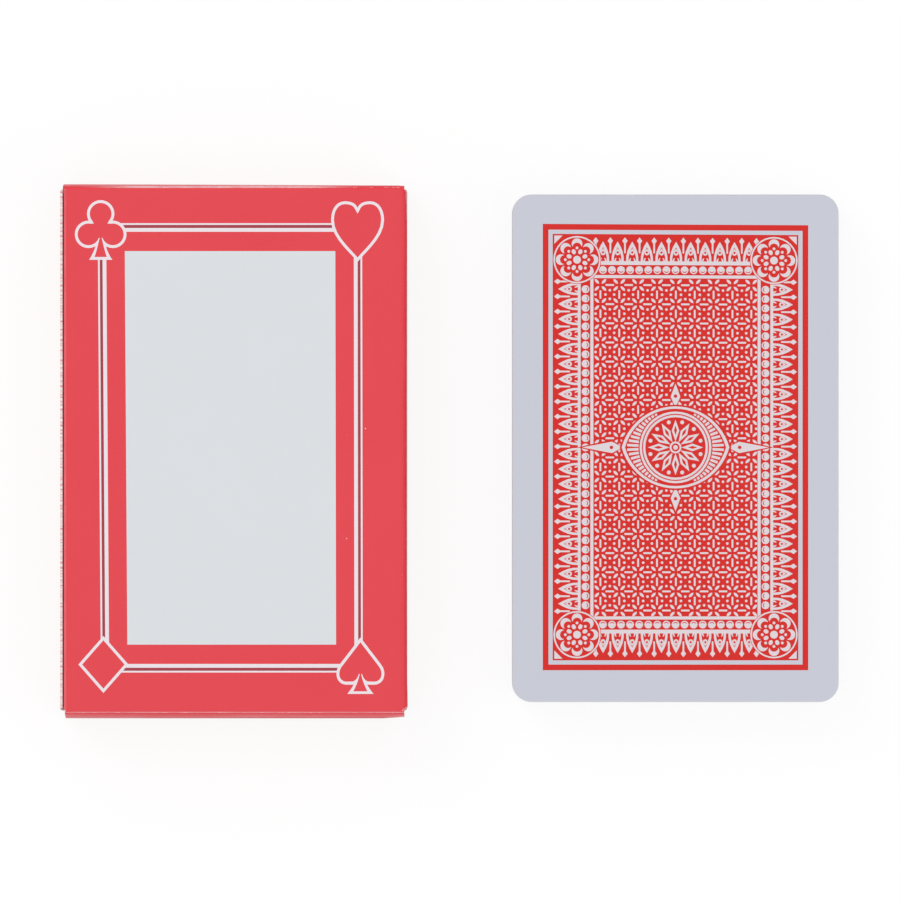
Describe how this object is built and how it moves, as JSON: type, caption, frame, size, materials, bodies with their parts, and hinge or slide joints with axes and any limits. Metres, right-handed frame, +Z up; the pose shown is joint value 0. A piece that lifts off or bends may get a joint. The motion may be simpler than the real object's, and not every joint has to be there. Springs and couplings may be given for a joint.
{
  "type": "playing card deck",
  "caption": "Bridge-size playing card deck: a squared pack of separate cards, back up, beside its closed tuck carton with hinged lids, tuck flaps and dust flaps.",
  "frame": {"origin": "on the table, at the middle of the pair: carton on the left, pack on the right", "axes": "+Z up from the table, +Y towards the carton's top end, +X from the carton to the pack"},
  "size_m": [0.1367, 0.094, 0.0192],
  "materials": {
    "carton_board": "red print on white folding board, satin",
    "card_stock": "white card stock printed in red, satin"
  },
  "bodies": {
    "carton": {"carton_sleeve": "carton_board", "bottom_dust_flaps": "carton_board"},
    "top_lid": {"top_lid": "carton_board"},
    "top_tuck": {"top_tuck_flap": "carton_board"},
    "top_left_dust": {"top_left_dust_flap": "carton_board"},
    "top_right_dust": {"top_right_dust_flap": "carton_board"},
    "bottom_lid": {"bottom_lid": "carton_board"},
    "bottom_tuck": {"bottom_tuck_flap": "carton_board"},
    "king_of_hearts": {"king_of_hearts": "card_stock"},
    "queen_of_hearts": {"queen_of_hearts": "card_stock"},
    "jack_of_hearts": {"jack_of_hearts": "card_stock"},
    "ten_of_hearts": {"ten_of_hearts": "card_stock"},
    "nine_of_hearts": {"nine_of_hearts": "card_stock"},
    "eight_of_hearts": {"eight_of_hearts": "card_stock"},
    "seven_of_hearts": {"seven_of_hearts": "card_stock"},
    "six_of_hearts": {"six_of_hearts": "card_stock"},
    "five_of_hearts": {"five_of_hearts": "card_stock"},
    "four_of_hearts": {"four_of_hearts": "card_stock"},
    "three_of_hearts": {"three_of_hearts": "card_stock"},
    "two_of_hearts": {"two_of_hearts": "card_stock"},
    "ace_of_hearts": {"ace_of_hearts": "card_stock"},
    "king_of_clubs": {"king_of_clubs": "card_stock"},
    "queen_of_clubs": {"queen_of_clubs": "card_stock"},
    "jack_of_clubs": {"jack_of_clubs": "card_stock"},
    "ten_of_clubs": {"ten_of_clubs": "card_stock"},
    "nine_of_clubs": {"nine_of_clubs": "card_stock"},
    "eight_of_clubs": {"eight_of_clubs": "card_stock"},
    "seven_of_clubs": {"seven_of_clubs": "card_stock"},
    "six_of_clubs": {"six_of_clubs": "card_stock"},
    "five_of_clubs": {"five_of_clubs": "card_stock"},
    "four_of_clubs": {"four_of_clubs": "card_stock"},
    "three_of_clubs": {"three_of_clubs": "card_stock"},
    "two_of_clubs": {"two_of_clubs": "card_stock"},
    "ace_of_clubs": {"ace_of_clubs": "card_stock"},
    "king_of_diamonds": {"king_of_diamonds": "card_stock"},
    "queen_of_diamonds": {"queen_of_diamonds": "card_stock"},
    "jack_of_diamonds": {"jack_of_diamonds": "card_stock"},
    "ten_of_diamonds": {"ten_of_diamonds": "card_stock"},
    "nine_of_diamonds": {"nine_of_diamonds": "card_stock"},
    "eight_of_diamonds": {"eight_of_diamonds": "card_stock"},
    "seven_of_diamonds": {"seven_of_diamonds": "card_stock"},
    "six_of_diamonds": {"six_of_diamonds": "card_stock"},
    "five_of_diamonds": {"five_of_diamonds": "card_stock"},
    "four_of_diamonds": {"four_of_diamonds": "card_stock"},
    "three_of_diamonds": {"three_of_diamonds": "card_stock"},
    "two_of_diamonds": {"two_of_diamonds": "card_stock"},
    "ace_of_diamonds": {"ace_of_diamonds": "card_stock"},
    "king_of_spades": {"king_of_spades": "card_stock"},
    "queen_of_spades": {"queen_of_spades": "card_stock"},
    "jack_of_spades": {"jack_of_spades": "card_stock"},
    "ten_of_spades": {"ten_of_spades": "card_stock"},
    "nine_of_spades": {"nine_of_spades": "card_stock"},
    "eight_of_spades": {"eight_of_spades": "card_stock"},
    "seven_of_spades": {"seven_of_spades": "card_stock"},
    "six_of_spades": {"six_of_spades": "card_stock"},
    "five_of_spades": {"five_of_spades": "card_stock"},
    "four_of_spades": {"four_of_spades": "card_stock"},
    "three_of_spades": {"three_of_spades": "card_stock"},
    "two_of_spades": {"two_of_spades": "card_stock"},
    "ace_of_spades": {"ace_of_spades": "card_stock"}
  },
  "joints": [
    {"name": "box_top_lid_crease", "type": "hinge", "parent": "carton", "child": "top_lid", "pos_m": [-0.03782, 0.04629, 0.01899], "axis": [1, 0, 0], "range_deg": [-1.5, 178.5], "deforming": ["top_tuck_flap"]},
    {"name": "box_bottom_lid_crease", "type": "hinge", "parent": "carton", "child": "bottom_lid", "pos_m": [-0.03782, -0.04581, 0.01899], "axis": [-1, 0, 0], "range_deg": [-3, 177], "deforming": ["bottom_tuck_flap"]},
    {"name": "box_top_tuck_crease", "type": "hinge", "parent": "top_lid", "child": "top_tuck", "pos_m": [-0.03782, 0.04677, 0.00066], "axis": [1, 0, 0], "range_deg": [-0.64, 75]},
    {"name": "box_bottom_tuck_crease", "type": "hinge", "parent": "bottom_lid", "child": "bottom_tuck", "pos_m": [-0.03782, -0.04677, 0.00068], "axis": [-1, 0, 0], "range_deg": [-1.26, 75]},
    {"name": "box_top_left_dust_crease", "type": "hinge", "parent": "carton", "child": "top_left_dust", "pos_m": [-0.06807, 0.04574, 0.00959], "axis": [0, 0, 1], "range_deg": [-0.76, 90]},
    {"name": "box_top_right_dust_crease", "type": "hinge", "parent": "carton", "child": "top_right_dust", "pos_m": [-0.00758, 0.04574, 0.00959], "axis": [0, 0, -1], "range_deg": [-0.76, 90]},
    {"name": "deal_king_of_hearts", "type": "slide", "parent": "carton", "child": "king_of_hearts", "axis": [0, -1, 0], "range_m": [0, 0.092]},
    {"name": "deal_queen_of_hearts", "type": "slide", "parent": "carton", "child": "queen_of_hearts", "axis": [0, -1, 0], "range_m": [0, 0.092]},
    {"name": "deal_jack_of_hearts", "type": "slide", "parent": "carton", "child": "jack_of_hearts", "axis": [0, -1, 0], "range_m": [0, 0.092]},
    {"name": "deal_ten_of_hearts", "type": "slide", "parent": "carton", "child": "ten_of_hearts", "axis": [0, -1, 0], "range_m": [0, 0.092]},
    {"name": "deal_nine_of_hearts", "type": "slide", "parent": "carton", "child": "nine_of_hearts", "axis": [0, -1, 0], "range_m": [0, 0.092]},
    {"name": "deal_eight_of_hearts", "type": "slide", "parent": "carton", "child": "eight_of_hearts", "axis": [0, -1, 0], "range_m": [0, 0.092]},
    {"name": "deal_seven_of_hearts", "type": "slide", "parent": "carton", "child": "seven_of_hearts", "axis": [0, -1, 0], "range_m": [0, 0.092]},
    {"name": "deal_six_of_hearts", "type": "slide", "parent": "carton", "child": "six_of_hearts", "axis": [0, -1, 0], "range_m": [0, 0.092]},
    {"name": "deal_five_of_hearts", "type": "slide", "parent": "carton", "child": "five_of_hearts", "axis": [0, -1, 0], "range_m": [0, 0.092]},
    {"name": "deal_four_of_hearts", "type": "slide", "parent": "carton", "child": "four_of_hearts", "axis": [0, -1, 0], "range_m": [0, 0.092]},
    {"name": "deal_three_of_hearts", "type": "slide", "parent": "carton", "child": "three_of_hearts", "axis": [0, -1, 0], "range_m": [0, 0.092]},
    {"name": "deal_two_of_hearts", "type": "slide", "parent": "carton", "child": "two_of_hearts", "axis": [0, -1, 0], "range_m": [0, 0.092]},
    {"name": "deal_ace_of_hearts", "type": "slide", "parent": "carton", "child": "ace_of_hearts", "axis": [0, -1, 0], "range_m": [0, 0.092]},
    {"name": "deal_king_of_clubs", "type": "slide", "parent": "carton", "child": "king_of_clubs", "axis": [0, -1, 0], "range_m": [0, 0.092]},
    {"name": "deal_queen_of_clubs", "type": "slide", "parent": "carton", "child": "queen_of_clubs", "axis": [0, -1, 0], "range_m": [0, 0.092]},
    {"name": "deal_jack_of_clubs", "type": "slide", "parent": "carton", "child": "jack_of_clubs", "axis": [0, -1, 0], "range_m": [0, 0.092]},
    {"name": "deal_ten_of_clubs", "type": "slide", "parent": "carton", "child": "ten_of_clubs", "axis": [0, -1, 0], "range_m": [0, 0.092]},
    {"name": "deal_nine_of_clubs", "type": "slide", "parent": "carton", "child": "nine_of_clubs", "axis": [0, -1, 0], "range_m": [0, 0.092]},
    {"name": "deal_eight_of_clubs", "type": "slide", "parent": "carton", "child": "eight_of_clubs", "axis": [0, -1, 0], "range_m": [0, 0.092]},
    {"name": "deal_seven_of_clubs", "type": "slide", "parent": "carton", "child": "seven_of_clubs", "axis": [0, -1, 0], "range_m": [0, 0.092]},
    {"name": "deal_six_of_clubs", "type": "slide", "parent": "carton", "child": "six_of_clubs", "axis": [0, -1, 0], "range_m": [0, 0.092]},
    {"name": "deal_five_of_clubs", "type": "slide", "parent": "carton", "child": "five_of_clubs", "axis": [0, -1, 0], "range_m": [0, 0.092]},
    {"name": "deal_four_of_clubs", "type": "slide", "parent": "carton", "child": "four_of_clubs", "axis": [0, -1, 0], "range_m": [0, 0.092]},
    {"name": "deal_three_of_clubs", "type": "slide", "parent": "carton", "child": "three_of_clubs", "axis": [0, -1, 0], "range_m": [0, 0.092]},
    {"name": "deal_two_of_clubs", "type": "slide", "parent": "carton", "child": "two_of_clubs", "axis": [0, -1, 0], "range_m": [0, 0.092]},
    {"name": "deal_ace_of_clubs", "type": "slide", "parent": "carton", "child": "ace_of_clubs", "axis": [0, -1, 0], "range_m": [0, 0.092]},
    {"name": "deal_king_of_diamonds", "type": "slide", "parent": "carton", "child": "king_of_diamonds", "axis": [0, -1, 0], "range_m": [0, 0.092]},
    {"name": "deal_queen_of_diamonds", "type": "slide", "parent": "carton", "child": "queen_of_diamonds", "axis": [0, -1, 0], "range_m": [0, 0.092]},
    {"name": "deal_jack_of_diamonds", "type": "slide", "parent": "carton", "child": "jack_of_diamonds", "axis": [0, -1, 0], "range_m": [0, 0.092]},
    {"name": "deal_ten_of_diamonds", "type": "slide", "parent": "carton", "child": "ten_of_diamonds", "axis": [0, -1, 0], "range_m": [0, 0.092]},
    {"name": "deal_nine_of_diamonds", "type": "slide", "parent": "carton", "child": "nine_of_diamonds", "axis": [0, -1, 0], "range_m": [0, 0.092]},
    {"name": "deal_eight_of_diamonds", "type": "slide", "parent": "carton", "child": "eight_of_diamonds", "axis": [0, -1, 0], "range_m": [0, 0.092]},
    {"name": "deal_seven_of_diamonds", "type": "slide", "parent": "carton", "child": "seven_of_diamonds", "axis": [0, -1, 0], "range_m": [0, 0.092]},
    {"name": "deal_six_of_diamonds", "type": "slide", "parent": "carton", "child": "six_of_diamonds", "axis": [0, -1, 0], "range_m": [0, 0.092]},
    {"name": "deal_five_of_diamonds", "type": "slide", "parent": "carton", "child": "five_of_diamonds", "axis": [0, -1, 0], "range_m": [0, 0.092]},
    {"name": "deal_four_of_diamonds", "type": "slide", "parent": "carton", "child": "four_of_diamonds", "axis": [0, -1, 0], "range_m": [0, 0.092]},
    {"name": "deal_three_of_diamonds", "type": "slide", "parent": "carton", "child": "three_of_diamonds", "axis": [0, -1, 0], "range_m": [0, 0.092]},
    {"name": "deal_two_of_diamonds", "type": "slide", "parent": "carton", "child": "two_of_diamonds", "axis": [0, -1, 0], "range_m": [0, 0.092]},
    {"name": "deal_ace_of_diamonds", "type": "slide", "parent": "carton", "child": "ace_of_diamonds", "axis": [0, -1, 0], "range_m": [0, 0.092]},
    {"name": "deal_king_of_spades", "type": "slide", "parent": "carton", "child": "king_of_spades", "axis": [0, -1, 0], "range_m": [0, 0.092]},
    {"name": "deal_queen_of_spades", "type": "slide", "parent": "carton", "child": "queen_of_spades", "axis": [0, -1, 0], "range_m": [0, 0.092]},
    {"name": "deal_jack_of_spades", "type": "slide", "parent": "carton", "child": "jack_of_spades", "axis": [0, -1, 0], "range_m": [0, 0.092]},
    {"name": "deal_ten_of_spades", "type": "slide", "parent": "carton", "child": "ten_of_spades", "axis": [0, -1, 0], "range_m": [0, 0.092]},
    {"name": "deal_nine_of_spades", "type": "slide", "parent": "carton", "child": "nine_of_spades", "axis": [0, -1, 0], "range_m": [0, 0.092]},
    {"name": "deal_eight_of_spades", "type": "slide", "parent": "carton", "child": "eight_of_spades", "axis": [0, -1, 0], "range_m": [0, 0.092]},
    {"name": "deal_seven_of_spades", "type": "slide", "parent": "carton", "child": "seven_of_spades", "axis": [0, -1, 0], "range_m": [0, 0.092]},
    {"name": "deal_six_of_spades", "type": "slide", "parent": "carton", "child": "six_of_spades", "axis": [0, -1, 0], "range_m": [0, 0.092]},
    {"name": "deal_five_of_spades", "type": "slide", "parent": "carton", "child": "five_of_spades", "axis": [0, -1, 0], "range_m": [0, 0.092]},
    {"name": "deal_four_of_spades", "type": "slide", "parent": "carton", "child": "four_of_spades", "axis": [0, -1, 0], "range_m": [0, 0.092]},
    {"name": "deal_three_of_spades", "type": "slide", "parent": "carton", "child": "three_of_spades", "axis": [0, -1, 0], "range_m": [0, 0.092]},
    {"name": "deal_two_of_spades", "type": "slide", "parent": "carton", "child": "two_of_spades", "axis": [0, -1, 0], "range_m": [0, 0.092]},
    {"name": "deal_ace_of_spades", "type": "slide", "parent": "carton", "child": "ace_of_spades", "axis": [0, -1, 0], "range_m": [0, 0.092]}
  ],
  "couplings": [
    {"joint": "box_top_tuck_crease", "follows": "box_top_lid_crease", "ratio": 0.41667},
    {"joint": "box_top_left_dust_crease", "follows": "box_top_lid_crease", "ratio": 0.5},
    {"joint": "box_top_right_dust_crease", "follows": "box_top_lid_crease", "ratio": 0.5},
    {"joint": "box_bottom_tuck_crease", "follows": "box_bottom_lid_crease", "ratio": 0.41667}
  ]
}
